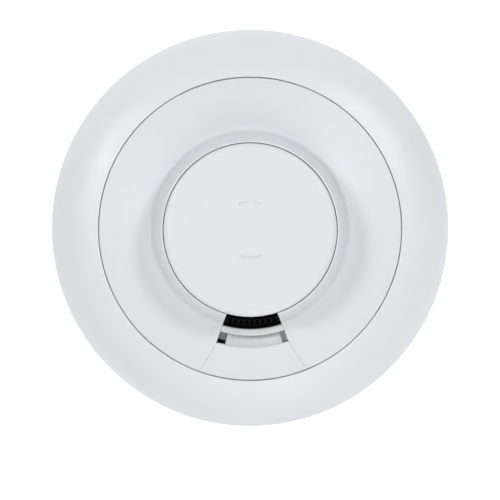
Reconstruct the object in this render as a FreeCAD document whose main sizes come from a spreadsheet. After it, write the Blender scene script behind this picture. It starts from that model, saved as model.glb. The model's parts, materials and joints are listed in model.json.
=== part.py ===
import FreeCAD, Part
import math
import os
import Sketcher

# Round ceiling heat detector with a twist-lock base.
# The origin is the centre of the base's back face, +Z points out of the front of the detector,
# and -Y is the side of the sensing window. All lengths are in millimetres.

DIMENSIONS = {
    # Outer shell
    "outer_radius": 62.0,
    "back_gap": 1.0,
    "shell_wall": 2.2,
    "side_height": 15.5,
    "dome_radius": 21.5,
    "seam_radius": 47.1,
    "seam_gap": 0.26,
    "seam_round": 0.25,
    "seam_height": 25.6,
    "seam_lip": 0.15,
    "ledge_radius": 43.9,
    "ledge_height": 23.6,
    "ledge_wall": 1.6,
    # Front cover and nose
    "cover_wall": 1.8,
    "cover_skirt": 1.4,
    "foot_radius": 30.5,
    "foot_height": 28.35,
    "foot_round": 1.0,
    "nose_radius": 27.5,
    "nose_height": 38.6,
    "nose_rim": 0.45,
    # Window, light bar and sound slot
    "window_half_angle": 17.2,
    "wedge_start": 23.0,
    "wedge_start_half_width": 6.8,
    "wedge_kink": 35.2,
    "wedge_kink_half_width": 11.3,
    "wedge_end_half_width": 20.3,
    "wedge_flare_radius": 80.0,
    "insert_gap": 0.06,
    "bar_inner_radius": 31.0,
    "bar_outer_radius": 33.1,
    "slot_outer_radius": 36.7,
    "slot_round": 0.9,
    "chamber_radius": 23.6,
    "chamber_wall": 0.6,
    # Test button
    "button_radius": 26.8,
    "button_centre_height": 38.65,
    "button_edge_height": 39.75,
    "button_edge_round": 1.4,
    "button_dish_radius": 300.0,
    "button_underside": 37.3,
    "button_skirt": 36.4,
    "mark_radius": 8.6,
    "mark_width": 0.9,
    "mark_depth": 0.45,
    "mark_span": 46.0,
    # Button carrier and spring
    "carrier_height": 33.6,
    "carrier_wall": 1.4,
    "notch_start": 22.2,
    "carrier_radius": 27.5,
    "cup_radius": 7.6,
    "cup_floor": 29.4,
    "spring_radius": 5.4,
    "spring_wire": 0.35,
    # Circuit board
    "board_height": 23.7,
    "board_wall": 1.6,
    "board_radius": 33.0,
    "board_chord": 30.4,
    "plunger_radius": 1.75,
    "plunger_top": 33.0,
    # Rear housing
    "housing_height": 8.8,
    "housing_wall": 1.6,
    "housing_radius": 59.5,
    "lock_ring_radius": 46.6,
    "lock_ring_wall": 2.1,
    "lug_height": 3.4,
    "lug_wall": 1.6,
    "lug_radius": 50.6,
    "lug_span": 16.0,
    "boss_circle": 57.3,
    "boss_radius": 3.1,
    # Battery
    "cell_radius": 8.5,
    "cell_length": 34.0,
    "cell_centre": 20.0,
    "well_wall": 1.2,
    "well_height": 4.4,
    "door_wall": 1.4,
    # Sounder
    "sounder_radius": 14.5,
    "sounder_centre": 24.0,
    "sounder_top": 20.8,
    # Mounting base
    "base_radius": 53.0,
    "base_wall": 2.0,
    "base_rim_height": 7.0,
    "base_rim_wall": 1.8,
    "tab_height": 5.3,
    "tab_inner_radius": 47.0,
    "tab_span": 20.0,
    "screw_circle": 33.0,
    "screw_hole_radius": 2.25,
}

LOCK_COUNT = 3
FRONT_SIDE = -90.0  # azimuth of the window side, in degrees about +Z

doc = FreeCAD.newDocument("HeatDetector")
sheet = doc.addObject("Spreadsheet::Sheet", "Dims")


class Size:
    """A length with its value and the sheet expression that gives it."""

    def __init__(self, value, text=None):
        self.value = float(value)
        self.text = text if text else repr(float(value))
        self.bound = text is not None

    def combined(self, other, sign, result):
        joined = Size(result, f"({self.text} {sign} {other.text})")
        joined.bound = self.bound or other.bound
        return joined

    def __add__(self, other):
        other = size(other)
        return self.combined(other, "+", self.value + other.value)

    def __sub__(self, other):
        other = size(other)
        return self.combined(other, "-", self.value - other.value)

    def __mul__(self, other):
        other = size(other)
        return self.combined(other, "*", self.value * other.value)

    def __truediv__(self, other):
        other = size(other)
        return self.combined(other, "/", self.value / other.value)

    def __neg__(self):
        return size(0.0) - self

    def __radd__(self, other):
        return size(other) + self

    def __rsub__(self, other):
        return size(other) - self

    def __rmul__(self, other):
        return size(other) * self


def size(number):
    return number if isinstance(number, Size) else Size(number)


def fill_sheet():
    """Write the driving dimensions to the sheet and return them as sizes."""
    sizes = {}
    for row, (alias, value) in enumerate(DIMENSIONS.items(), start=1):
        sheet.set(f"A{row}", alias)
        sheet.set(f"B{row}", str(value))
        sheet.setAlias(f"B{row}", alias)
        sizes[alias] = Size(value, f"Dims.{alias}")
    doc.recompute()
    return sizes


D = fill_sheet()


# ---------------------------------------------------------------- building blocks


def bind(target, prop, length):
    """Give a property its size and, when the sheet drives it, the expression."""
    length = size(length)
    if prop.startswith("Placement"):
        target.setExpression(prop, length.text)
        return
    setattr(target, prop, length.value)
    if length.bound:
        target.setExpression(prop, length.text)


def origin_part(body, role):
    return [part for part in body.Origin.OriginFeatures if part.Role == role][0]


def new_body(label):
    body = doc.addObject("PartDesign::Body", label)
    body.Label = label
    return body


def new_sketch(body, name, role, turn=0.0, lift=0.0):
    """A sketch on an origin plane: an XZ sketch is turned about +Z, an XY sketch lifted along +Z."""
    sketch = body.newObject("Sketcher::SketchObject", name)
    sketch.AttachmentSupport = [(origin_part(body, role), "")]
    sketch.MapMode = "FlatFace"
    turned = FreeCAD.Rotation(FreeCAD.Vector(0, 1, 0), turn)
    sketch.AttachmentOffset = FreeCAD.Placement(FreeCAD.Vector(0, 0, size(lift).value), turned)
    if size(lift).bound:
        sketch.setExpression("AttachmentOffset.Base.z", size(lift).text)
    return sketch


def constrain(sketch, kind, items, length, name):
    """Add a dimension to a sketch and tie it to the sheet."""
    length = size(length)
    index = sketch.addConstraint(Sketcher.Constraint(kind, *items, length.value))
    sketch.renameConstraint(index, name)
    if length.bound:
        sketch.setExpression(f"Constraints.{name}", length.text)


def arc_between(start, end, radius):
    """The arc from start to end, counter-clockwise for a positive radius."""
    along = end.sub(start)
    middle = start.add(end).multiply(0.5)
    left = FreeCAD.Vector(-along.y, along.x, 0).normalize()
    reach = math.sqrt(radius**2 - (along.Length / 2) ** 2)
    centre = middle.add(left.multiply(reach if radius > 0 else -reach))
    first, last = (start, end) if radius > 0 else (end, start)
    first_angle = math.atan2(first.y - centre.y, first.x - centre.x)
    last_angle = math.atan2(last.y - centre.y, last.x - centre.x)
    circle = Part.Circle(centre, FreeCAD.Vector(0, 0, 1), abs(radius))
    return Part.ArcOfCircle(circle, first_angle, last_angle)


def draw_outline(sketch, vertices):
    """Close an outline through (x, y) vertices; a third item is the radius of the arc that ends there."""
    points = [FreeCAD.Vector(size(v[0]).value, size(v[1]).value, 0) for v in vertices]
    count = len(points)
    ends = []
    for index in range(count):
        arriving = vertices[(index + 1) % count]
        start, end = points[index], points[(index + 1) % count]
        if len(arriving) == 3:
            radius = size(arriving[2])
            edge = sketch.addGeometry(arc_between(start, end, radius.value))
            ends.append((edge, 1, 2) if radius.value > 0 else (edge, 2, 1))
            magnitude = radius if radius.value > 0 else -radius
            constrain(sketch, "Radius", [edge], magnitude, f"radius{index}")
        else:
            edge = sketch.addGeometry(Part.LineSegment(start, end))
            ends.append((edge, 1, 2))
    for index, (edge, first, last) in enumerate(ends):
        following, follow_first, _ = ends[(index + 1) % count]
        sketch.addConstraint(Sketcher.Constraint("Coincident", edge, last, following, follow_first))
        constrain(sketch, "DistanceX", [-1, 1, edge, first], vertices[index][0], f"x{index}")
        constrain(sketch, "DistanceY", [-1, 1, edge, first], vertices[index][1], f"y{index}")
    return sketch


def draw_circles(sketch, centres, radius):
    for index, (x, y) in enumerate(centres):
        centre = FreeCAD.Vector(size(x).value, size(y).value, 0)
        circle = Part.Circle(centre, FreeCAD.Vector(0, 0, 1), size(radius).value)
        edge = sketch.addGeometry(circle)
        constrain(sketch, "DistanceX", [-1, 1, edge, 3], x, f"x{index}")
        constrain(sketch, "DistanceY", [-1, 1, edge, 3], y, f"y{index}")
        constrain(sketch, "Radius", [edge], radius, f"radius{index}")
    return sketch


def finish_feature(body, feature, volume_before, adds):
    doc.recompute()
    change = body.Shape.Volume - volume_before
    if abs(change) < 1e-6 or (change > 0) != adds:
        raise RuntimeError(f"{body.Label}: {feature.Name} changed the volume by {change:.4f} mm3")
    return feature


def body_volume(body):
    doc.recompute()
    return 0.0 if body.Shape.isNull() else body.Shape.Volume


def turned(body, name, vertices, span=360.0, at=0.0, cut=False):
    """Revolve an outline of (radius, height) vertices about +Z, centred on an azimuth."""
    before = body_volume(body)
    sketch = draw_outline(new_sketch(body, f"{name}_outline", "XZ_Plane", turn=at), vertices)
    kind = "PartDesign::Groove" if cut else "PartDesign::Revolution"
    feature = body.newObject(kind, name)
    feature.Profile = sketch
    feature.ReferenceAxis = (sketch, ["V_Axis"])
    feature.Midplane = True
    bind(feature, "Angle", span)
    return finish_feature(body, feature, before, not cut)


def raised(body, name, fill, bottom, height, cut=False):
    """Pad, or pocket upwards, what fill draws on a sketch that lies at the bottom height."""
    before = body_volume(body)
    sketch = fill(new_sketch(body, f"{name}_outline", "XY_Plane", lift=bottom))
    feature = body.newObject("PartDesign::Pocket" if cut else "PartDesign::Pad", name)
    feature.Profile = sketch
    feature.Reversed = cut
    bind(feature, "Length", height)
    return finish_feature(body, feature, before, not cut)


def round_pattern(body, name, features, count, span=360.0):
    """Repeat features about +Z."""
    pattern = body.newObject("PartDesign::PolarPattern", name)
    pattern.Originals = features
    pattern.Axis = (origin_part(body, "Z_Axis"), [""])
    pattern.Angle = span
    pattern.Occurrences = count
    body.Tip = pattern
    doc.recompute()
    return pattern


def rim_edges(shape, radius, height):
    """Names of the circular edges of one radius at one height."""
    names = []
    for index, edge in enumerate(shape.Edges, start=1):
        curve = edge.Curve
        if isinstance(curve, Part.Circle):
            same_radius = abs(curve.Radius - radius.value) < 0.01
            if same_radius and abs(curve.Center.z - height.value) < 0.01:
                names.append(f"Edge{index}")
    return names


def rounded(body, name, base, edges, radius, kind="Fillet"):
    """Round or chamfer edges of a body's last feature."""
    feature = body.newObject(f"PartDesign::{kind}", name)
    feature.Base = (base, edges)
    bind(feature, "Radius" if kind == "Fillet" else "Size", radius)
    body.Tip = feature
    doc.recompute()
    return feature


def rectangle(half_x, y_low, y_high, centre_x=0.0):
    """Vertices of a rectangle that is symmetric about an X position."""
    left = size(centre_x) - half_x
    right = size(centre_x) + half_x
    return [(left, y_low), (right, y_low), (right, y_high), (left, y_high)]


def band(inner, outer, low, high):
    """Vertices of a rectangular ring section."""
    return [(inner, low), (outer, low), (outer, high), (inner, high)]


def box(label, lengths, centre_x, centre_y, bottom):
    """A block, centred in X and Y on a point, standing on a height."""
    block = doc.addObject("Part::Box", label)
    bind(block, "Length", lengths[0])
    bind(block, "Width", lengths[1])
    bind(block, "Height", lengths[2])
    place(block, size(centre_x) - size(lengths[0]) / 2, size(centre_y) - size(lengths[1]) / 2, bottom)
    return block


def rod(label, radius, bottom, height, centre_x=0.0, centre_y=0.0):
    """A round bar along +Z."""
    bar = doc.addObject("Part::Cylinder", label)
    bind(bar, "Radius", radius)
    bind(bar, "Height", height)
    place(bar, centre_x, centre_y, bottom)
    return bar


def place(target, x, y, z):
    bind(target, "Placement.Base.x", x)
    bind(target, "Placement.Base.y", y)
    bind(target, "Placement.Base.z", z)


def less(label, base, tool):
    cut = doc.addObject("Part::Cut", label)
    cut.Base = base
    cut.Tool = tool
    return cut


def joined(label, pieces):
    fuse = doc.addObject("Part::MultiFuse", label)
    fuse.Shapes = pieces
    return fuse


def group(label, pieces):
    """Separate solids that share one node."""
    compound = doc.addObject("Part::Compound", label)
    compound.Links = pieces
    return compound


def coil(label, radius, wire, height, turns):
    """A helical spring along +Z, its wire's centre line starting at the origin's height."""
    helix = doc.addObject("Part::Helix", f"{label}_helix")
    bind(helix, "Radius", radius)
    bind(helix, "Height", height)
    bind(helix, "Pitch", size(height) / turns)
    section = doc.addObject("Part::Circle", f"{label}_section")
    bind(section, "Radius", wire)
    section.Placement.Rotation = FreeCAD.Rotation(FreeCAD.Vector(1, 0, 0), 90)
    bind(section, "Placement.Base.x", radius)
    sweep = doc.addObject("Part::Sweep", label)
    sweep.Sections = [section]
    sweep.Spine = (helix, ["Edge1"])
    sweep.Solid = True
    sweep.Frenet = True
    return sweep


def ring_points(radius, angles):
    """Points on a circle about +Z."""
    radius = size(radius)
    cosines = [(math.cos(math.radians(a)), math.sin(math.radians(a))) for a in angles]
    return [(radius * c, radius * s) for c, s in cosines]


QUARTERS = (45.0, 135.0, 225.0, 315.0)
BOARD_POSTS = ((26.2, 3.5), (-26.2, 3.5), (19.5, -17.5), (-19.5, -17.5))
TAMPER_PLACE = (-27.0, -8.0)
LEAD_PLACES = (-0.5, 0.5)


# ---------------------------------------------------------------- mounting base


def mounting_base():
    """The plate that is screwed to the building, with its bayonet tabs and stops."""
    body = new_body("mounting_base")
    rim_inner = D["base_radius"] - D["base_rim_wall"]
    plate = [
        (0.0, 0.0),
        (D["base_radius"], 0.0),
        (D["base_radius"], D["base_rim_height"]),
        (rim_inner, D["base_rim_height"]),
        (rim_inner, D["base_wall"]),
        (0.0, D["base_wall"]),
    ]
    turned(body, "plate", plate)
    into_rim = rim_inner + 0.3
    tab = turned(
        body,
        "tab",
        band(D["tab_inner_radius"], into_rim, D["tab_height"], D["base_rim_height"]),
        span=D["tab_span"],
    )
    round_pattern(body, "tabs", [tab], LOCK_COUNT)
    stop_section = band(D["tab_inner_radius"], into_rim, D["base_wall"] - 0.2, D["base_rim_height"])
    stop_span = 3.5
    for name, azimuth in (("lock_stop", -10.75), ("open_stop", 31.25)):
        stop = turned(body, name, stop_section, span=stop_span, at=azimuth)
        round_pattern(body, f"{name}s", [stop], LOCK_COUNT)
    holes = ring_points(D["screw_circle"], QUARTERS)
    hole = D["screw_hole_radius"]
    raised(body, "screw_holes", lambda s: draw_circles(s, holes, hole), 0.0, D["base_wall"], cut=True)
    countersink = 0.9
    tops = rim_edges(body.Shape, D["screw_hole_radius"], D["base_wall"])
    rounded(body, "countersinks", body.Tip, tops, countersink, kind="Chamfer")
    for name, inner in (("knockout_groove", 9.0), ("outer_relief", 39.0)):
        turned(body, name, band(inner, inner + 1.2, 0.0, 0.6), cut=True)
    return body


# ---------------------------------------------------------------- outer shell


def housing_ring():
    """The wide outer ring: a straight side, a convex dome and the ledge that carries the cover."""
    body = new_body("housing_ring")
    ledge_low = D["ledge_height"] - D["ledge_wall"]
    seam_edge = D["seam_radius"] + D["seam_gap"] / 2
    inner_side = D["outer_radius"] - D["shell_wall"]
    shell = [
        (D["outer_radius"], D["back_gap"]),
        (D["outer_radius"], D["side_height"]),
        (seam_edge, D["seam_height"] + D["seam_lip"], D["dome_radius"]),
        (seam_edge, D["ledge_height"]),
        (D["ledge_radius"], D["ledge_height"]),
        (D["ledge_radius"], ledge_low),
        (seam_edge + 0.5, ledge_low),
        (inner_side, D["side_height"] - 1.6, -(D["dome_radius"] - D["shell_wall"])),
        (inner_side, D["back_gap"]),
    ]
    turned(body, "shell", shell)
    boss_bottom = D["housing_height"] + D["housing_wall"]
    bosses = ring_points(D["boss_circle"], QUARTERS)
    raised(body, "bosses", lambda s: draw_circles(s, bosses, D["boss_radius"]), boss_bottom, 6.6)
    raised(body, "pilot_holes", lambda s: draw_circles(s, bosses, 1.3), boss_bottom, 5.8, cut=True)
    edges = rim_edges(body.Shape, D["outer_radius"], D["side_height"])
    rounded(body, "side_round", body.Tip, edges, 3.0)
    lips = rim_edges(body.Shape, seam_edge, D["seam_height"] + D["seam_lip"])
    lips += rim_edges(body.Shape, D["outer_radius"], D["back_gap"])
    rounded(body, "lip_rounds", body.Tip, lips, D["seam_round"])
    return body


def cover_edge():
    """The radius where the cover meets the ring's seam."""
    return D["seam_radius"] - D["seam_gap"] / 2


def cone_height(radius):
    """Height of the cover's shallow cone at a radius."""
    slope = (D["foot_height"] - D["seam_height"]) / (cover_edge() - D["foot_radius"])
    return D["seam_height"] + (cover_edge() - radius) * slope


def underside(radius):
    return cone_height(radius) - D["cover_wall"]


def cover_rim():
    """The part of the section that the cover and the insert share: skirt, seat and seam edge."""
    low = D["ledge_height"] + 0.4
    skirt_outer = D["ledge_radius"] - 0.3
    skirt_inner = skirt_outer - D["cover_skirt"]
    skirt_low = D["ledge_height"] - D["ledge_wall"]
    return [
        (skirt_inner, underside(skirt_inner)),
        (skirt_inner, skirt_low),
        (skirt_outer, skirt_low),
        (skirt_outer, low),
        (cover_edge(), low),
        (cover_edge(), D["seam_height"]),
    ]


def wedge_outline(sketch, margin):
    """The window and insert wedge from the front: sides that widen, then flare out towards the seam."""
    start_y = -D["wedge_start"]
    kink_y = -D["wedge_kink"]
    end_y = -(D["seam_radius"] + 1.0)
    start = D["wedge_start_half_width"] + margin
    kink = D["wedge_kink_half_width"] + margin
    end = D["wedge_end_half_width"] + margin
    flare = D["wedge_flare_radius"]
    vertices = [
        (start, start_y),
        (-start, start_y),
        (-kink, kink_y),
        (-end, end_y, -flare),
        (end, end_y),
        (kink, kink_y, -flare),
    ]
    return draw_outline(sketch, vertices)


def front_cover():
    """The inner cover: a shallow cone that turns up into the steep nose, open at the window."""
    body = new_body("front_cover")
    bore = D["nose_radius"] - D["nose_rim"]
    throat = D["foot_radius"] - 1.9
    step = D["carrier_height"] + D["carrier_wall"] + 0.1
    nose = [
        (D["foot_radius"], D["foot_height"]),
        (D["nose_radius"], D["nose_height"]),
        (bore, D["nose_height"]),
        (bore, step),
        (D["carrier_radius"] + 0.1, step),
        (throat, underside(throat)),
    ]
    shell = turned(body, "shell", nose + cover_rim())
    foot = rim_edges(body.Shape, D["foot_radius"], D["foot_height"])
    rounded(body, "foot_fillet", shell, foot, D["foot_round"])
    rim = rim_edges(body.Shape, D["nose_radius"], D["nose_height"])
    rim += rim_edges(body.Shape, cover_edge(), D["seam_height"])
    rounded(body, "rim_round", body.Tip, rim, D["seam_round"])
    bottom = D["ledge_height"] - D["ledge_wall"] - 1.0
    height = D["nose_height"] - bottom + 1.0
    raised(body, "wedge", lambda s: wedge_outline(s, 0.0), bottom, height, cut=True)
    return body


def fitted_to_wedge(blank, bottom, height):
    """The part of a blank that fits between the sides of the cover's wedge opening."""
    wedge = new_body(f"{blank.Label}_wedge")
    raised(wedge, "prism", lambda s: wedge_outline(s, -D["insert_gap"]), bottom, height)
    fitted = doc.addObject("Part::Common", blank.Label.replace("_blank", ""))
    fitted.Base = blank
    fitted.Tool = wedge
    return fitted


def inlet_insert():
    """The wedge that closes the cover outside the sound slot, flush with the cone."""
    blank = new_body("inlet_insert_blank")
    inner = D["slot_outer_radius"]
    crest = inner + D["slot_round"]
    slot_edge = [
        (crest, cone_height(crest)),
        (inner, cone_height(crest) - D["slot_round"], D["slot_round"]),
        (inner, underside(inner)),
    ]
    turned(blank, "shell", slot_edge + cover_rim())
    rim = rim_edges(blank.Shape, cover_edge(), D["seam_height"])
    rounded(blank, "rim_round", blank.Tip, rim, D["seam_round"])
    return fitted_to_wedge(blank, D["ledge_height"] - D["ledge_wall"] - 1.0, 12.0)


def light_guide():
    """The translucent bar between the window and the sound slot."""
    blank = new_body("light_guide_blank")
    low = 26.3
    top_inner = cone_height(D["bar_inner_radius"])
    top_outer = cone_height(D["bar_outer_radius"])
    bar = [
        (D["bar_inner_radius"], low),
        (D["bar_outer_radius"], low),
        (D["bar_outer_radius"], top_outer),
        (D["bar_inner_radius"], top_inner),
    ]
    turned(blank, "bar", bar, span=50.0, at=FRONT_SIDE)
    edges = rim_edges(blank.Shape, D["bar_inner_radius"], top_inner)
    edges += rim_edges(blank.Shape, D["bar_outer_radius"], top_outer)
    rounded(blank, "bar_rounds", blank.Tip, edges, 0.35)
    return fitted_to_wedge(blank, low - 1.0, 5.0)


def sound_duct():
    """The trough under the sound slot: a pit at its left end and a lower shelf at its right end."""
    body = new_body("sound_duct")
    wall = 0.6
    low = 21.0
    high = 25.3
    shelf = 23.8
    inner = D["bar_outer_radius"] - wall - 0.1
    outer = D["slot_outer_radius"] + 0.3
    span = D["window_half_angle"] * 2 + 4.0
    half = span.value / 2
    lip_span = D["window_half_angle"] * 2 + 0.6
    floor_left = -13.4
    floor_right = 14.8
    end_span = 0.9
    turned(body, "inner_wall", band(inner, inner + wall, low, high), span=span, at=FRONT_SIDE)
    turned(body, "inner_lip", band(inner, inner + wall, high - 1.0, 26.2), span=lip_span, at=FRONT_SIDE)
    turned(body, "outer_wall", band(outer, outer + wall, low, high + 0.05), span=span, at=FRONT_SIDE)
    edge = inner + wall / 2
    far = outer + wall / 2
    steps = (
        ("left_end", -half, -half + end_span, far, low, high),
        ("pit_floor", -half, floor_left, 35.5, low + 1.0, low + 1.0 + wall),
        ("floor", floor_left, floor_right, far, high - 0.8, high),
        ("riser", floor_right - 0.8, floor_right, far, shelf - 0.8, high),
        ("right_shelf", floor_right - 0.8, half, 36.5, shelf - 0.8, shelf),
        ("right_end", half - end_span, half, far, low, high),
    )
    for name, left, right, reach, bottom, top in steps:
        middle = FRONT_SIDE + (left + right) / 2
        turned(body, name, band(edge, reach, bottom, top), span=right - left, at=middle)
    return body


def insect_screen():
    """The black louvred screen that leans with the nose inside the window, on its foot flange."""
    body = new_body("insect_screen")
    leaf = [
        (29.05, 27.5),
        (30.9, 27.5),
        (30.9, 28.1),
        (30.05, 28.3),
        (27.9, 35.1),
        (27.1, 35.1),
        (29.05, 28.9),
    ]
    turned(body, "leaf", leaf, span=D["window_half_angle"] * 2 - 0.8, at=FRONT_SIDE)
    slot = [(26.0, 29.8), (31.5, 29.8), (31.5, 34.4), (26.0, 34.4)]
    louvre_count = 9
    pitch = 3.4
    first = FRONT_SIDE - pitch * (louvre_count - 1) / 2
    louvre = turned(body, "louvre", slot, span=1.7, at=first, cut=True)
    round_pattern(body, "louvres", [louvre], louvre_count, span=pitch * (louvre_count - 1))
    return body


def sensor_chamber():
    """The black pocket round the sensing bead: floor, back wall, ends and roof behind the screen."""
    body = new_body("sensor_chamber")
    wall = D["chamber_wall"]
    back = D["chamber_radius"]
    low = 26.2
    high = 35.0
    throat = 28.9
    span = 32.0
    end_span = 1.2
    turned(body, "back_wall", band(back, back + wall, low, high), span=span, at=FRONT_SIDE)
    turned(body, "floor", band(back, throat, low, low + wall), span=span, at=FRONT_SIDE)
    turned(body, "roof", band(back, 26.9, high - wall, high), span=span, at=FRONT_SIDE)
    end = [(back, low), (throat, low), (throat, 28.6), (26.9, high), (back, high)]
    for name, side in (("left_end", -1), ("right_end", 1)):
        turned(body, name, end, span=end_span, at=FRONT_SIDE + side * (span - end_span) / 2)
    wires = [(x, -26.3) for x in LEAD_PLACES]
    raised(body, "lead_holes", lambda s: draw_circles(s, wires, 0.35), low - 1.0, 2.0, cut=True)
    return body


def cover_gasket():
    """The flat dust seal between the ring's ledge and the cover."""
    inner = D["ledge_radius"] + 0.1
    outer = D["seam_radius"] - D["seam_gap"] / 2 - 0.2
    disc = rod("gasket_disc", outer, D["ledge_height"], 0.4)
    hole = rod("gasket_hole", inner, D["ledge_height"] - 1.0, 3.0)
    return less("cover_gasket", disc, hole)


# ---------------------------------------------------------------- test button


def test_button():
    """The dished push button that fills the nose, with a stem, clip legs and two shallow arc marks."""
    body = new_body("test_button")
    edge_start = D["button_radius"] - D["button_edge_round"]
    side_top = D["button_edge_height"] - D["button_edge_round"] + 0.1
    stem = 2.5
    skirt_inner = D["button_radius"] - 1.4
    stem_low = D["plunger_top"] + 0.05
    section = [
        (0.0, D["button_centre_height"]),
        (edge_start, D["button_edge_height"], D["button_dish_radius"]),
        (D["button_radius"], side_top, -D["button_edge_round"]),
        (D["button_radius"], D["button_skirt"]),
        (skirt_inner, D["button_skirt"]),
        (skirt_inner, D["button_underside"]),
        (stem, D["button_underside"]),
        (stem, stem_low),
        (0.0, stem_low),
    ]
    turned(body, "cap", section)
    leg_azimuth = 90.0
    hook_low = D["carrier_height"] - 1.3
    leg = turned(body, "leg", band(19.0, 20.6, hook_low, 37.4), span=14.0, at=leg_azimuth)
    hook = turned(body, "hook", band(20.4, 22.0, hook_low, hook_low + 1.0), span=14.0, at=leg_azimuth)
    round_pattern(body, "legs", [leg, hook], LOCK_COUNT)
    mark_middle = D["mark_radius"]
    mark_half = D["mark_width"] / 2
    surface = D["button_centre_height"] + mark_middle * mark_middle / (D["button_dish_radius"] * 2)
    mark = [
        (mark_middle, surface - D["mark_depth"]),
        (mark_middle + mark_half, surface),
        (mark_middle + mark_half, 41.0),
        (mark_middle - mark_half, 41.0),
        (mark_middle - mark_half, surface),
    ]
    for name, azimuth in (("upper_mark", 90.0), ("lower_mark", -90.0)):
        turned(body, name, mark, span=D["mark_span"], at=azimuth, cut=True)
    return body


def button_carrier():
    """The disc inside the nose that guides the button's legs and cups its spring."""
    body = new_body("button_carrier")
    cup_outer = D["cup_radius"] + D["carrier_wall"]
    top = D["carrier_height"] + D["carrier_wall"]
    floor_top = D["cup_floor"] + 1.0
    bore = D["plunger_radius"] + 0.45
    section = [
        (bore, D["cup_floor"]),
        (cup_outer, D["cup_floor"]),
        (cup_outer, D["carrier_height"]),
        (D["carrier_radius"], D["carrier_height"]),
        (D["carrier_radius"], top),
        (D["cup_radius"], top),
        (D["cup_radius"], floor_top),
        (bore, floor_top),
    ]
    turned(body, "disc", section)
    guide = turned(body, "guide", band(18.4, 22.6, 33.0, 36.0), span=20.0, at=90.0, cut=True)
    round_pattern(body, "guides", [guide], LOCK_COUNT)
    notch = rectangle(9.4, -30.0, -D["notch_start"])
    raised(body, "sensor_notch", lambda s: draw_outline(s, notch), 33.0, 3.0, cut=True)
    return body


def button_spring():
    """The return spring between the carrier's cup and the button."""
    low = D["cup_floor"] + 1.0 + D["spring_wire"] + 0.02
    high = D["button_underside"] - D["spring_wire"] - 0.02
    spring = coil("button_spring", D["spring_radius"], D["spring_wire"], high - low, 5)
    bind(spring, "Placement.Base.z", low)
    return spring


# ---------------------------------------------------------------- electronics


def main_board():
    """The round circuit board with one flat side."""
    top = D["board_height"] + D["board_wall"]
    disc = rod("board_disc", D["board_radius"], D["board_height"], D["board_wall"])
    flat_depth = 6.0
    flat = box("board_flat", (40.0, flat_depth, 4.0), 0.0, -(D["board_chord"] + flat_depth / 2), top - 3.0)
    holes = [rod(f"board_hole{i}", 1.3, top - 3.0, 6.0, x, y) for i, (x, y) in enumerate(BOARD_POSTS)]
    return less("main_board", disc, joined("board_cuts", [flat] + holes))


def screw(name, head, shank, seat, length, x, y, pointing_down):
    """A pan-head screw: its head sits on the seat and its shank runs the stated way."""
    head_height = head * 0.6
    if pointing_down:
        parts = [rod(f"{name}_head", head, seat, head_height, x, y)]
        parts.append(rod(f"{name}_shank", shank, size(seat) - length, length, x, y))
    else:
        parts = [rod(f"{name}_head", head, size(seat) - head_height, head_height, x, y)]
        parts.append(rod(f"{name}_shank", shank, seat, length, x, y))
    recess_height = head_height * 0.6
    recess_low = size(seat) + head_height * 0.5 if pointing_down else size(seat) - head_height * 1.1
    arms = [
        box(f"{name}_arm{i}", (a, b, recess_height), x, y, recess_low)
        for i, (a, b) in enumerate(((head, head * 0.25), (head * 0.25, head)))
    ]
    return less(name, joined(f"{name}_solid", parts), joined(f"{name}_cross", arms))


def board_screws():
    seat = D["board_height"] + D["board_wall"]
    screws = [
        screw(f"board_screw{i}", 2.2, 1.05, seat, 8.0, x, y, True)
        for i, (x, y) in enumerate(BOARD_POSTS)
    ]
    return group("board_screws", screws)


def housing_screws():
    places = ring_points(D["boss_circle"], QUARTERS)
    screws = [
        screw(f"housing_screw{i}", 2.1, 1.25, D["housing_height"], 7.0, x, y, False)
        for i, (x, y) in enumerate(places)
    ]
    return group("housing_screws", screws)


def tact_switch():
    """The switch body, with the well that its plunger slides in."""
    top = D["board_height"] + D["board_wall"]
    block = box("switch_block", (6.0, 6.0, 3.5), 0.0, 0.0, top)
    well = rod("switch_well", D["plunger_radius"] + 0.05, top + 1.2, 4.0)
    return less("tact_switch", block, well)


def switch_plunger():
    low = 28.0
    return rod("switch_plunger", D["plunger_radius"], low, D["plunger_top"] - low)


def board_blocks():
    """The larger parts on the front of the board."""
    top = D["board_height"] + D["board_wall"]
    controller = box("microcontroller", (7.0, 7.0, 1.0), 12.0, 9.5, top)
    radio = box("radio_module", (13.0, 10.0, 2.3), -12.5, -9.0, top)
    led = box("status_led", (3.0, 1.6, 0.7), 0.0, -29.4, top)
    capacitor = rod("capacitor", 3.1, top, 6.5, 12.5, -8.5)
    return [controller, radio, led, capacitor]


def antenna():
    """The coiled radio antenna that stands on the board."""
    wire = 0.35
    piece = coil("antenna", 2.2, wire, 5.0, 6)
    place(piece, -14.0, 9.5, D["board_height"] + D["board_wall"] + wire + 0.02)
    return piece


def board_parts():
    """Chip resistors and capacitors in short rows."""
    top = D["board_height"] + D["board_wall"]
    rows = ((9.0, -18.0), (-4.5, 13.5), (-4.5, 18.5), (16.5, 1.2))
    columns = 5
    pitch = 2.6
    chips = []
    for row, (x, y) in enumerate(rows):
        for column in range(columns):
            name = f"chip{row}_{column}"
            chips.append(box(name, (1.6, 0.9, 0.6), x + pitch * (column - columns // 2), y, top))
    return group("board_parts", chips)


def thermistor_bead():
    """The heat sensing bead behind the window."""
    bead = doc.addObject("Part::Ellipsoid", "thermistor_bead")
    bead.Radius1 = 1.5
    bead.Radius2 = 1.1
    bead.Radius3 = 1.1
    place(bead, 0.0, -26.3, 31.7)
    return bead


def thermistor_leads():
    top = D["board_height"] + D["board_wall"]
    leads = [rod(f"lead{i}", 0.22, top, 4.9, x, -26.3) for i, x in enumerate(LEAD_PLACES)]
    return group("thermistor_leads", leads)


def tamper_switch():
    return box("tamper_switch", (6.0, 6.0, 4.0), *TAMPER_PLACE, D["board_height"] - 4.0)


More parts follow.
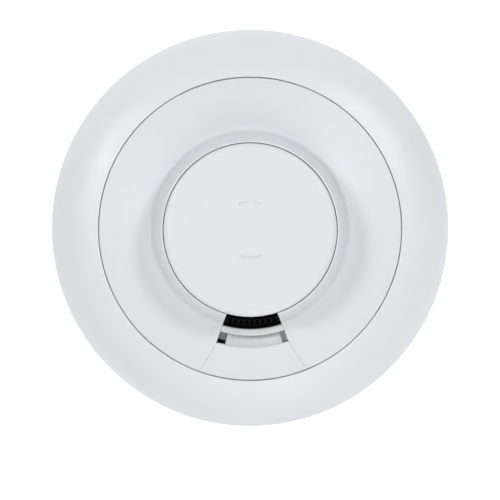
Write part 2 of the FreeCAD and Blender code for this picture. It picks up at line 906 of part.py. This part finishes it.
def tamper_plunger():
    """The rod that the mounting base holds pressed while the detector is locked on."""
    low = D["base_wall"] + 0.2
    high = D["board_height"] - 4.0
    return rod("tamper_plunger", 1.5, low, high - low, *TAMPER_PLACE)


# ---------------------------------------------------------------- rear housing


def rear_housing():
    """The back shell, with the bayonet ring and lugs, the battery well and the board's posts."""
    body = new_body("rear_housing")
    top = D["housing_height"] + D["housing_wall"]
    ring_inner = D["lock_ring_radius"] - D["lock_ring_wall"]
    plate = [
        (0.0, D["housing_height"]),
        (ring_inner, D["housing_height"]),
        (ring_inner, D["lug_height"]),
        (D["lock_ring_radius"], D["lug_height"]),
        (D["lock_ring_radius"], D["housing_height"]),
        (D["housing_radius"], D["housing_height"]),
        (D["housing_radius"], top),
        (0.0, top),
    ]
    turned(body, "plate", plate)
    lug_top = D["lug_height"] + D["lug_wall"]
    lug_section = band(D["lock_ring_radius"] - 0.2, D["lug_radius"], D["lug_height"], lug_top)
    lug = turned(body, "lug", lug_section, span=D["lug_span"])
    round_pattern(body, "lugs", [lug], LOCK_COUNT)
    inner_half = D["cell_length"] / 2 + 2.7
    inner_low = D["cell_centre"] - D["cell_radius"] - 0.1
    inner_high = D["cell_centre"] + D["cell_radius"] + 0.1
    outer = rectangle(inner_half + 1.5, inner_low - D["well_wall"], inner_high + D["well_wall"])
    inner = rectangle(inner_half, inner_low, inner_high)
    well_height = D["board_height"] - 0.3 - D["well_height"]
    raised(body, "well", lambda s: draw_outline(s, outer), D["well_height"], well_height)
    cavity = well_height - D["well_wall"]
    raised(body, "well_cavity", lambda s: draw_outline(s, inner), D["well_height"], cavity, cut=True)
    post_height = D["board_height"] - top + 0.4
    raised(body, "posts", lambda s: draw_circles(s, BOARD_POSTS, 2.8), top - 0.4, post_height)
    raised(body, "post_holes", lambda s: draw_circles(s, BOARD_POSTS, 1.1), top + 4.0, 12.0, cut=True)
    bosses = ring_points(D["boss_circle"], QUARTERS)
    low = D["housing_height"] - 1.0
    raised(body, "screw_holes", lambda s: draw_circles(s, bosses, 1.4), low, 4.0, cut=True)
    raised(body, "tamper_hole", lambda s: draw_circles(s, [TAMPER_PLACE], 1.7), 8.0, 3.0, cut=True)
    return body


def battery_cover():
    """The door over the battery well, with grip ribs cut into its outer face."""
    body = new_body("battery_cover")
    half_x = D["cell_length"] / 2 + 4.2
    low = D["cell_centre"] - D["cell_radius"] - 1.3
    high = D["cell_centre"] + D["cell_radius"] + 1.3
    bottom = D["well_height"] - D["door_wall"]
    raised(body, "door", lambda s: draw_outline(s, rectangle(half_x, low, high)), bottom, D["door_wall"])
    for index in range(4):
        middle = 16.0 + index * 2.4
        groove = rectangle(6.0, middle, middle + 1.0)
        raised(body, f"grip{index}", lambda s: draw_outline(s, groove), bottom, 0.5, cut=True)
    return body


def battery_cell():
    """The sealed lithium cell, lying along X, its raised terminal at +X."""
    body = new_body("battery_cell")
    half = D["cell_length"] / 2
    radius = D["cell_radius"]
    terminal = half - 1.4
    sketch = new_sketch(body, "can_outline", "XZ_Plane")
    draw_outline(
        sketch,
        [
            (-half, 0.0),
            (-half, radius - 0.5),
            (-half + 0.5, radius),
            (terminal - 0.7, radius),
            (terminal, radius - 0.7),
            (terminal, 3.2),
            (half, 3.2),
            (half, 0.0),
        ],
    )
    can = body.newObject("PartDesign::Revolution", "can")
    can.Profile = sketch
    can.ReferenceAxis = (sketch, ["H_Axis"])
    can.Angle = 360.0
    place(body, 0.0, D["cell_centre"], D["well_height"] + 0.4 + D["cell_radius"])
    return body


def contact_positive():
    """The stamped contact at the raised terminal."""
    wall = D["cell_length"] / 2 + 2.6
    thickness = 0.5
    middle = D["well_height"] + 0.4 + D["cell_radius"]
    centre = D["cell_centre"]
    leaf = box("positive_leaf", (thickness, 9.0, 10.0), wall - thickness / 2, centre, middle - 5.0)
    pip = rod("positive_pip", 2.2, 0.0, 2.15)
    pip.Placement.Rotation = FreeCAD.Rotation(FreeCAD.Vector(0, 1, 0), 90)
    place(pip, D["cell_length"] / 2 + 0.05, D["cell_centre"], middle)
    return joined("contact_positive", [leaf, pip])


def contact_negative():
    """The leaf and coil spring at the flat end of the cell."""
    wall = D["cell_length"] / 2 + 2.6
    thickness = 0.4
    middle = D["well_height"] + 0.4 + D["cell_radius"]
    centre = D["cell_centre"]
    leaf = box("negative_leaf", (thickness, 9.0, 10.0), -wall + thickness / 2, centre, middle - 5.0)
    wire = 0.3
    spring = coil("negative_coil", 3.2, wire, 1.5, 2)
    spring.Placement.Rotation = FreeCAD.Rotation(FreeCAD.Vector(0, 1, 0), 90)
    place(spring, -wall + thickness + wire + 0.02, D["cell_centre"], middle)
    return group("contact_negative", [leaf, spring])


def rating_label():
    return box("rating_label", (36.0, 15.0, 0.15), 0.0, -26.0, D["housing_height"] - 0.15)


# ---------------------------------------------------------------- sounder


def sounder_case():
    """The sounder's cup, open to the rear housing, with an outlet under the sound duct."""
    body = new_body("sounder_case")
    floor = D["housing_height"] + D["housing_wall"]
    wall = 1.3
    inner = D["sounder_radius"] - wall
    seat = 14.0
    section = [
        (inner - 1.4, floor),
        (D["sounder_radius"], floor),
        (D["sounder_radius"], D["sounder_top"]),
        (0.0, D["sounder_top"]),
        (0.0, D["sounder_top"] - wall),
        (inner, D["sounder_top"] - wall),
        (inner, seat),
        (inner - 1.4, seat),
    ]
    turned(body, "cup", section)
    outlet = rectangle(7.0, -12.2, -9.4)
    raised(body, "outlet", lambda s: draw_outline(s, outlet), 18.0, 4.0, cut=True)
    bind(body, "Placement.Base.y", -D["sounder_centre"])
    return body


def piezo_plate():
    return rod("piezo_plate", D["sounder_radius"] - 1.5, 14.0, 0.3, 0.0, -D["sounder_centre"])


def piezo_ceramic():
    return rod("piezo_ceramic", 9.0, 14.3, 0.3, 0.0, -D["sounder_centre"])


# ---------------------------------------------------------------- export


def check_document():
    """Stop if any object failed, because a recompute alone doesn't raise."""
    for item in doc.Objects:
        if "Invalid" in item.State or "Error" in item.State:
            raise RuntimeError(f"{item.Label} failed: {item.State}")


def export(piece, label):
    piece.Label = label
    shape = piece.Shape
    if shape.isNull() or not shape.isValid() or not shape.Solids:
        raise RuntimeError(f"{label} has no valid solid")
    shape.exportStep(os.path.join("parts", f"{label}.step"))
    print(f"{label}: {len(shape.Solids)} solid(s), {shape.Volume:.1f} mm3")


def main():
    pieces = [
        mounting_base(),
        housing_ring(),
        front_cover(),
        inlet_insert(),
        light_guide(),
        sound_duct(),
        insect_screen(),
        sensor_chamber(),
        cover_gasket(),
        test_button(),
        button_carrier(),
        button_spring(),
        main_board(),
        board_screws(),
        housing_screws(),
        tact_switch(),
        switch_plunger(),
        *board_blocks(),
        antenna(),
        board_parts(),
        thermistor_bead(),
        thermistor_leads(),
        tamper_switch(),
        tamper_plunger(),
        rear_housing(),
        battery_cover(),
        battery_cell(),
        contact_positive(),
        contact_negative(),
        rating_label(),
        sounder_case(),
        piezo_plate(),
        piezo_ceramic(),
    ]
    doc.recompute()
    check_document()
    os.makedirs("parts", exist_ok=True)
    for piece in pieces:
        export(piece, piece.Label)


main()
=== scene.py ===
import json
import math

import bpy
from mathutils import Matrix, Vector


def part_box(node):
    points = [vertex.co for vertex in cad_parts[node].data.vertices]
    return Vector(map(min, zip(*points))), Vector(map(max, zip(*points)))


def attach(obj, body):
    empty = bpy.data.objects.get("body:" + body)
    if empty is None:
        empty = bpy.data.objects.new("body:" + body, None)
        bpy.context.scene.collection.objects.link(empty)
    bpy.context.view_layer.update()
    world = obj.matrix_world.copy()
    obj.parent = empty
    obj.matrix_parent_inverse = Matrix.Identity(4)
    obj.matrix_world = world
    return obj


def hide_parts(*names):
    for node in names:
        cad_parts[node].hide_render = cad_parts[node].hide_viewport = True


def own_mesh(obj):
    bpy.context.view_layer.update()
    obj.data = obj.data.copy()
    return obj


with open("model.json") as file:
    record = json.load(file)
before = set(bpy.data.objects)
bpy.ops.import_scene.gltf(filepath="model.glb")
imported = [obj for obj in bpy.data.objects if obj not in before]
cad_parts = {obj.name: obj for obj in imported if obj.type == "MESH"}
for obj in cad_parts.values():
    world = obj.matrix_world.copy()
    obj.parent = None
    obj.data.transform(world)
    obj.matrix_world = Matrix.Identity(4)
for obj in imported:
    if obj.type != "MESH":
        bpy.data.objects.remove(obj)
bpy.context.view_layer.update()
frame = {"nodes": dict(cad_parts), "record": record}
nodes = frame["nodes"]

MM = 0.001

# The camera looks along the detector's axis, tipped and rolled by a degree or two.
CAMERA_TIP = 1.5
CAMERA_ROLL = -1.2
CAMERA_DISTANCE = 2.0
FRAME_WIDTH = 0.1561
SHIFT_X = -0.0002
SHIFT_Y = -0.0439

STAGE_GLOW = 1.0
WORLD_LIGHT = 0.07

# Each softbox: azimuth and elevation in degrees, distance and side in metres, power in watts.
SOFTBOXES = {
    "softbox_front": (90.0, 86.0, 1.2, 0.9, 2.7),
    "key_right": (36.0, 49.0, 1.0, 0.22, 3.35),
    "key_left": (153.0, 49.0, 1.0, 0.22, 3.5),
    "fill_front": (275.0, 50.0, 1.0, 0.35, 1.9),
    "fill_low": (282.0, 22.0, 1.0, 0.5, 1.9),
}

# ---------------------------------------------------------------- node tree helpers


def new_material(name):
    """A material with one Principled shader, and its node tree and shader."""
    material = bpy.data.materials.new(name)
    material.use_nodes = True
    tree = material.node_tree
    shader = tree.nodes["Principled BSDF"]
    return material, tree, shader


def place(tree, turn=0.0, stretch=1.0):
    """Object coordinates, turned about Z by degrees and shrunk along the turned X by a factor."""
    coordinates = tree.nodes.new("ShaderNodeTexCoord")
    if turn == 0.0 and stretch == 1.0:
        return coordinates.outputs["Object"]
    turned = tree.nodes.new("ShaderNodeMapping")
    turned.inputs["Rotation"].default_value = (0.0, 0.0, math.radians(turn))
    turned.inputs["Scale"].default_value = (1.0 / stretch, 1.0, 1.0)
    tree.links.new(coordinates.outputs["Object"], turned.inputs["Vector"])
    return turned.outputs["Vector"]


def noise(tree, size, detail=4.0, rough=0.55, turn=0.0, stretch=1.0):
    """Noise whose features are about one size across, in metres."""
    texture = tree.nodes.new("ShaderNodeTexNoise")
    texture.inputs["Scale"].default_value = 1.0 / size
    texture.inputs["Detail"].default_value = detail
    texture.inputs["Roughness"].default_value = rough
    tree.links.new(place(tree, turn, stretch), texture.inputs["Vector"])
    return texture.outputs["Fac"]


def cells(tree, size, feature="F1"):
    """Distance in a field of cells about one size across, in metres."""
    texture = tree.nodes.new("ShaderNodeTexVoronoi")
    texture.feature = feature
    texture.inputs["Scale"].default_value = 1.0 / size
    tree.links.new(place(tree), texture.inputs["Vector"])
    return texture.outputs["Distance"]


def spread(tree, value, low, high, from_low=0.3, from_high=0.7):
    """Map a noise value to a range."""
    node = tree.nodes.new("ShaderNodeMapRange")
    node.inputs["From Min"].default_value = from_low
    node.inputs["From Max"].default_value = from_high
    node.inputs["To Min"].default_value = low
    node.inputs["To Max"].default_value = high
    tree.links.new(value, node.inputs["Value"])
    return node.outputs["Result"]


def combine(tree, operation, first, second):
    """Arithmetic on two values, the second of which may be a number."""
    node = tree.nodes.new("ShaderNodeMath")
    node.operation = operation
    tree.links.new(first, node.inputs[0])
    if isinstance(second, float):
        node.inputs[1].default_value = second
    else:
        tree.links.new(second, node.inputs[1])
    return node.outputs[0]


def blend_colours(tree, value, first, second):
    """A colour that runs from the first to the second with a value; either may be another colour's socket."""
    node = tree.nodes.new("ShaderNodeMix")
    node.data_type = "RGBA"
    for socket, colour in (("A", first), ("B", second)):
        if isinstance(colour, tuple):
            node.inputs[socket].default_value = (*colour, 1.0)
        else:
            tree.links.new(colour, node.inputs[socket])
    tree.links.new(value, node.inputs["Factor"])
    return node.outputs["Result"]


def bump(tree, shader, value, height, strength=1.0, under=None):
    """Raise the surface by a value, over an earlier bump if there is one."""
    node = tree.nodes.new("ShaderNodeBump")
    node.inputs["Strength"].default_value = strength
    node.inputs["Distance"].default_value = height
    tree.links.new(value, node.inputs["Height"])
    if under is not None:
        tree.links.new(under, node.inputs["Normal"])
    tree.links.new(node.outputs["Normal"], shader.inputs["Normal"])
    return node.outputs["Normal"]


def hairlines(tree, size, turn):
    """Sparse fine scratches: 1 on a scratch and 0 elsewhere."""
    streaks = noise(tree, size, detail=2.0, turn=turn, stretch=40.0)
    where = noise(tree, 9 * MM, detail=2.0)
    line = spread(tree, streaks, 0.0, 1.0, from_low=0.70, from_high=0.74)
    patch = spread(tree, where, 0.0, 1.0, from_low=0.50, from_high=0.62)
    return combine(tree, "MULTIPLY", line, patch)


# ---------------------------------------------------------------- finishes


def plastic(name, colour, tint=0.012, rough=(0.36, 0.48), grain=0.35 * MM, grain_height=0.006 * MM):
    """Moulded plastic: faint colour drift, uneven gloss, spark-eroded grain, slow waviness and scratches."""
    material, tree, shader = new_material(name)
    darker = tuple(max(0.0, c - tint) for c in colour)
    drift = spread(tree, noise(tree, 22 * MM, detail=2.0), 0.0, 1.0)
    speck = spread(tree, noise(tree, 0.9 * MM, detail=3.0), 0.0, 0.25, from_low=0.55, from_high=0.75)
    tone = combine(tree, "ADD", drift, speck)
    tree.links.new(blend_colours(tree, tone, colour, darker), shader.inputs["Base Color"])
    scratches = combine(tree, "ADD", hairlines(tree, 0.5 * MM, 25.0), hairlines(tree, 0.4 * MM, -50.0))
    gloss = spread(tree, noise(tree, 6 * MM, detail=5.0), rough[0], rough[1])
    worn = combine(tree, "ADD", gloss, combine(tree, "MULTIPLY", scratches, 0.12))
    tree.links.new(worn, shader.inputs["Roughness"])
    waviness = bump(tree, shader, noise(tree, 14 * MM, detail=1.0), 0.012 * MM, 0.6)
    grained = bump(tree, shader, noise(tree, grain, detail=2.0), grain_height, 1.0, waviness)
    bump(tree, shader, scratches, -0.002 * MM, 0.5, grained)
    shader.inputs["IOR"].default_value = 1.5
    shader.inputs["Specular IOR Level"].default_value = 0.45
    return material


def painted_shade_black(name):
    """Black moulded plastic with a matt grain, its colour far darker than plain black plastic: painted shade
    standing in for the dark inside the detector's window.
    """
    material, tree, shader = new_material(name)
    drift = spread(tree, noise(tree, 3 * MM), 0.0, 1.0)
    # The near-zero black is painted shade: darker than any plain black plastic, it stands in for the shade
    # inside the window.
    colour = blend_colours(tree, drift, (0.0030, 0.0030, 0.0034), (0.0018, 0.0018, 0.0020))
    tree.links.new(colour, shader.inputs["Base Color"])
    tree.links.new(spread(tree, noise(tree, 1.2 * MM), 0.72, 0.9), shader.inputs["Roughness"])
    bump(tree, shader, noise(tree, 0.16 * MM, detail=3.0), 0.015 * MM)
    shader.inputs["Specular IOR Level"].default_value = 0.04
    return material


def diffuser(name):
    """Translucent light-guide plastic: a little depth, a soft gloss and faint flow lines."""
    material, tree, shader = new_material(name)
    flow = spread(tree, noise(tree, 1.6 * MM, detail=2.0, stretch=6.0), 0.0, 1.0)
    colour = blend_colours(tree, flow, (0.780, 0.782, 0.784), (0.755, 0.757, 0.759))
    tree.links.new(colour, shader.inputs["Base Color"])
    tree.links.new(spread(tree, noise(tree, 2.5 * MM), 0.26, 0.36), shader.inputs["Roughness"])
    bump(tree, shader, noise(tree, 0.6 * MM), 0.003 * MM)
    shader.inputs["Subsurface Weight"].default_value = 0.2
    shader.inputs["Subsurface Radius"].default_value = (0.5 * MM, 0.5 * MM, 0.45 * MM)
    shader.inputs["Subsurface Scale"].default_value = 1.0
    return material


def metal(name, colour, rough=(0.25, 0.4), scratch=0.25 * MM, turn=0.0):
    """Bare or plated metal with uneven gloss, faint tarnish and a fine drawn surface."""
    material, tree, shader = new_material(name)
    darker = tuple(c * 0.82 for c in colour)
    drift = spread(tree, noise(tree, 2.5 * MM, detail=4.0), 0.0, 1.0)
    tree.links.new(blend_colours(tree, drift, colour, darker), shader.inputs["Base Color"])
    drawn = noise(tree, scratch, detail=3.0, turn=turn, stretch=14.0)
    gloss = spread(tree, noise(tree, 0.8 * MM), rough[0], rough[1])
    worn = combine(tree, "ADD", gloss, spread(tree, drawn, 0.0, 0.12))
    tree.links.new(worn, shader.inputs["Roughness"])
    bump(tree, shader, drawn, 0.004 * MM)
    shader.inputs["Metallic"].default_value = 1.0
    return material


def foam(name):
    """Closed-cell foam with open cut cells."""
    material, tree, shader = new_material(name)
    cell = cells(tree, 0.32 * MM)
    colour = blend_colours(tree, cell, (0.016, 0.016, 0.017), (0.045, 0.045, 0.047))
    tree.links.new(colour, shader.inputs["Base Color"])
    tree.links.new(spread(tree, noise(tree, 1.5 * MM), 0.8, 0.95), shader.inputs["Roughness"])
    bump(tree, shader, cell, 0.08 * MM)
    return material


def circuit_board(name):
    """Green solder mask over copper tracks, with a woven glass texture and a satin gloss."""
    material, tree, shader = new_material(name)
    tracks = tree.nodes.new("ShaderNodeTexBrick")
    tracks.inputs["Scale"].default_value = 1.0 / (6.0 * MM)
    tracks.inputs["Mortar Size"].default_value = 0.022
    tracks.inputs["Mortar Smooth"].default_value = 0.1
    tracks.inputs["Brick Width"].default_value = 1.7
    tracks.inputs["Row Height"].default_value = 0.30
    tracks.offset = 0.37
    tracks.squash = 0.45
    tree.links.new(place(tree, 45.0), tracks.inputs["Vector"])
    pads = spread(tree, cells(tree, 3.1 * MM), 1.0, 0.0, from_low=0.10, from_high=0.13)
    copper = combine(tree, "MAXIMUM", tracks.outputs["Fac"], pads)
    drift = spread(tree, noise(tree, 12 * MM), 0.0, 1.0)
    mask = blend_colours(tree, drift, (0.016, 0.115, 0.042), (0.012, 0.090, 0.034))
    colour = blend_colours(tree, copper, mask, (0.028, 0.165, 0.055))
    tree.links.new(colour, shader.inputs["Base Color"])
    tree.links.new(spread(tree, noise(tree, 2 * MM), 0.22, 0.34), shader.inputs["Roughness"])
    weave = bump(tree, shader, noise(tree, 0.4 * MM, detail=1.0, turn=45.0, stretch=3.0), 0.004 * MM)
    bump(tree, shader, copper, 0.02 * MM, 1.0, weave)
    shader.inputs["Coat Weight"].default_value = 0.4
    shader.inputs["Coat Roughness"].default_value = 0.12
    return material


def cell_sleeve(name):
    """The printed shrink sleeve of the lithium cell: dark, with a paler band round one end."""
    material, tree, shader = new_material(name)
    split = tree.nodes.new("ShaderNodeSeparateXYZ")
    tree.links.new(place(tree), split.inputs["Vector"])
    band = spread(tree, split.outputs["X"], 0.0, 1.0, from_low=9.0 * MM, from_high=9.2 * MM)
    drift = spread(tree, noise(tree, 5 * MM), 0.0, 1.0)
    sleeve = blend_colours(tree, drift, (0.020, 0.045, 0.105), (0.015, 0.036, 0.085))
    tree.links.new(blend_colours(tree, band, sleeve, (0.42, 0.43, 0.44)), shader.inputs["Base Color"])
    tree.links.new(spread(tree, noise(tree, 3 * MM), 0.16, 0.30), shader.inputs["Roughness"])
    bump(tree, shader, noise(tree, 4 * MM, detail=3.0, stretch=0.3), 0.05 * MM, 0.5)
    return material


def paper(name):
    """A satin paper label: short fibres and a few soft creases."""
    material, tree, shader = new_material(name)
    fibre = spread(tree, noise(tree, 0.25 * MM, turn=20.0, stretch=5.0), 0.0, 1.0)
    colour = blend_colours(tree, fibre, (0.70, 0.70, 0.68), (0.62, 0.62, 0.60))
    tree.links.new(colour, shader.inputs["Base Color"])
    tree.links.new(spread(tree, noise(tree, 2 * MM), 0.42, 0.6), shader.inputs["Roughness"])
    bump(tree, shader, noise(tree, 5 * MM), 0.03 * MM)
    return material


MATERIALS = {
    "shell_white": lambda n: plastic(n, (0.808, 0.826, 0.860)),
    "cover_white": lambda n: plastic(n, (0.770, 0.788, 0.820)),
    "button_white": lambda n: plastic(n, (0.788, 0.806, 0.838)),
    "light_diffuser": diffuser,
    "duct_grey": lambda n: plastic(n, (0.658, 0.664, 0.680)),
    "black_plastic": painted_shade_black,
    "housing_white": lambda n: plastic(n, (0.74, 0.75, 0.77), grain=0.5 * MM, grain_height=0.010 * MM),
    "base_white": lambda n: plastic(n, (0.74, 0.75, 0.77), grain=0.5 * MM, grain_height=0.010 * MM),
    "gasket_foam": foam,
    "spring_steel": lambda n: metal(n, (0.62, 0.62, 0.63)),
    "screw_steel": lambda n: metal(n, (0.56, 0.56, 0.57), rough=(0.3, 0.45)),
    "circuit_board": circuit_board,
    "chip_black": lambda n: plastic(n, (0.02, 0.02, 0.022), tint=0.006, rough=(0.45, 0.6)),
    "shield_can": lambda n: metal(n, (0.72, 0.72, 0.73), turn=30.0),
    "chip_parts": lambda n: plastic(n, (0.32, 0.22, 0.14), rough=(0.4, 0.6)),
    "antenna_wire": lambda n: metal(n, (0.8, 0.55, 0.24)),
    "sensor_epoxy": lambda n: plastic(n, (0.006, 0.006, 0.007), tint=0.002, rough=(0.25, 0.4)),
    "lead_wire": lambda n: metal(n, (0.66, 0.66, 0.67)),
    "capacitor_can": lambda n: metal(n, (0.72, 0.72, 0.73), turn=90.0),
    "led_lens": lambda n: plastic(n, (0.8, 0.76, 0.5), rough=(0.1, 0.2)),
    "switch_black": lambda n: plastic(n, (0.02, 0.02, 0.022), tint=0.006),
    "cell_wrap": cell_sleeve,
    "contact_nickel": lambda n: metal(n, (0.75, 0.72, 0.66)),
    "label_paper": paper,
    "sounder_black": lambda n: plastic(n, (0.02, 0.02, 0.022), tint=0.006, grain=0.5 * MM),
    "piezo_brass": lambda n: metal(n, (0.8, 0.6, 0.25), turn=60.0),
    "piezo_white": lambda n: plastic(n, (0.7, 0.69, 0.64)),
}


def dress_nodes():
    """Give every CAD node the procedural material of its slot."""
    made = {slot: build(slot) for slot, build in MATERIALS.items()}
    for entry in frame["record"]["subparts"]:
        for slot in nodes[entry["node"]].material_slots:
            slot.material = made[entry["material_slot"]]
    return made


materials = dress_nodes()

# ---------------------------------------------------------------- the return spring


def spring_outline(low, high, radius, wire):
    """Centre line of a compression spring: closed end turns and open turns between, from low to high."""
    end_turns = 1.0
    open_turns = 3.0
    steps_per_turn = 48
    total = 2 * end_turns + open_turns
    bottom, top = low + wire, high - wire
    closed_rise = 2.1 * wire
    points = []
    for step in range(int(total * steps_per_turn) + 1):
        turn = step / steps_per_turn
        if turn <= end_turns:
            z = bottom + closed_rise * turn
        elif turn >= total - end_turns:
            z = top - closed_rise * (total - turn)
        else:
            share = (turn - end_turns) / open_turns
            z = bottom + closed_rise + (top - bottom - 2 * closed_rise) * share
        angle = 2 * math.pi * turn
        points.append(Vector((radius * math.cos(angle), radius * math.sin(angle), z)))
    return points


def swept_wire(name, points, wire, sides=12):
    """A round wire swept along points that wind about the Z axis, with capped ends."""
    vertices, faces = [], []
    for i, point in enumerate(points):
        ahead = points[min(i + 1, len(points) - 1)]
        behind = points[max(i - 1, 0)]
        along = (ahead - behind).normalized()
        outward = Vector((point.x, point.y, 0.0)).normalized()
        across = along.cross(outward).normalized()
        outward = across.cross(along).normalized()
        for side in range(sides):
            a = 2 * math.pi * side / sides
            vertices.append(point + (outward * math.cos(a) + across * math.sin(a)) * wire)
    for i in range(len(points) - 1):
        for side in range(sides):
            after = (side + 1) % sides
            ring, following = i * sides, (i + 1) * sides
            faces.append((ring + side, ring + after, following + after, following + side))
    faces.append(tuple(range(sides))[::-1])
    last = (len(points) - 1) * sides
    faces.append(tuple(last + side for side in range(sides)))
    mesh = bpy.data.meshes.new(name)
    mesh.from_pydata([tuple(v) for v in vertices], [], faces)
    mesh.update()
    mesh.shade_smooth()
    piece = bpy.data.objects.new(name, mesh)
    bpy.context.scene.collection.objects.link(piece)
    return piece


def make_spring():
    """A spring with closed ends in the place of the plain coil, attached to the head."""
    low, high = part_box("button_spring")
    wire = 0.35 * MM
    radius = (high[0] - low[0]) / 2 - wire
    piece = swept_wire("return_spring", spring_outline(low[2], high[2], radius, wire), wire)
    piece.data.materials.append(materials["spring_steel"])
    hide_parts("button_spring")
    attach(piece, "head")
    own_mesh(piece)
    return piece


make_spring()

# ---------------------------------------------------------------- stage, lights and camera


def make_stage():
    """A wide pale floor that stays bright under the object."""
    side = 9.0
    depth = -0.2 * MM
    mesh = bpy.data.meshes.new("stage")
    corners = [(-side, -side, depth), (side, -side, depth), (side, side, depth), (-side, side, depth)]
    mesh.from_pydata(corners, [], [(0, 1, 2, 3)])
    floor = bpy.data.objects.new("stage", mesh)
    bpy.context.scene.collection.objects.link(floor)
    material, tree, shader = new_material("stage_paper")
    shader.inputs["Base Color"].default_value = (0.35, 0.35, 0.35, 1.0)
    shader.inputs["Roughness"].default_value = 0.9
    shader.inputs["Emission Color"].default_value = (1.0, 1.0, 1.0, 1.0)
    shader.inputs["Emission Strength"].default_value = STAGE_GLOW
    mesh.materials.append(material)


def make_softbox(name, azimuth, elevation, distance, side, power):
    """A square soft light round the object, azimuth counter-clockwise from +X."""
    light = bpy.data.lights.new(name, "AREA")
    light.shape = "SQUARE"
    light.size = side
    light.energy = power
    piece = bpy.data.objects.new(name, light)
    bpy.context.scene.collection.objects.link(piece)
    a, e = math.radians(azimuth), math.radians(elevation)
    outward = Vector((math.cos(e) * math.cos(a), math.cos(e) * math.sin(a), math.sin(e)))
    piece.location = outward * distance
    aim_point = Vector((0.0, 0.0, 0.02))
    piece.rotation_euler = (aim_point - piece.location).to_track_quat("-Z", "Y").to_euler()


def make_world(strength):
    """An even, weak light from everywhere."""
    world = bpy.data.worlds.new("studio")
    world.use_nodes = True
    background = world.node_tree.nodes["Background"]
    background.inputs["Color"].default_value = (1.0, 1.0, 1.0, 1.0)
    background.inputs["Strength"].default_value = strength
    bpy.context.scene.world = world


def make_camera():
    """A long lens on the detector's axis, tipped a little towards its top side."""
    camera = bpy.data.cameras.new("camera")
    camera.sensor_width = 36.0
    camera.lens = camera.sensor_width * CAMERA_DISTANCE / FRAME_WIDTH
    camera.clip_end = 20.0
    piece = bpy.data.objects.new("camera", camera)
    bpy.context.scene.collection.objects.link(piece)
    tip = math.radians(CAMERA_TIP)
    target = Vector((0.0, 0.0, 0.0155))
    camera.shift_x = SHIFT_X
    camera.shift_y = SHIFT_Y
    piece.location = target + Vector((0.0, math.sin(tip), math.cos(tip))) * CAMERA_DISTANCE
    turn = Matrix.Rotation(-tip, 4, "X") @ Matrix.Rotation(math.radians(CAMERA_ROLL), 4, "Z")
    piece.rotation_euler = turn.to_euler()
    bpy.context.scene.camera = piece


make_stage()
make_world(WORLD_LIGHT)
for softbox, settings in SOFTBOXES.items():
    make_softbox(softbox, *settings)
make_camera()
bpy.context.scene.view_settings.view_transform = "Standard"
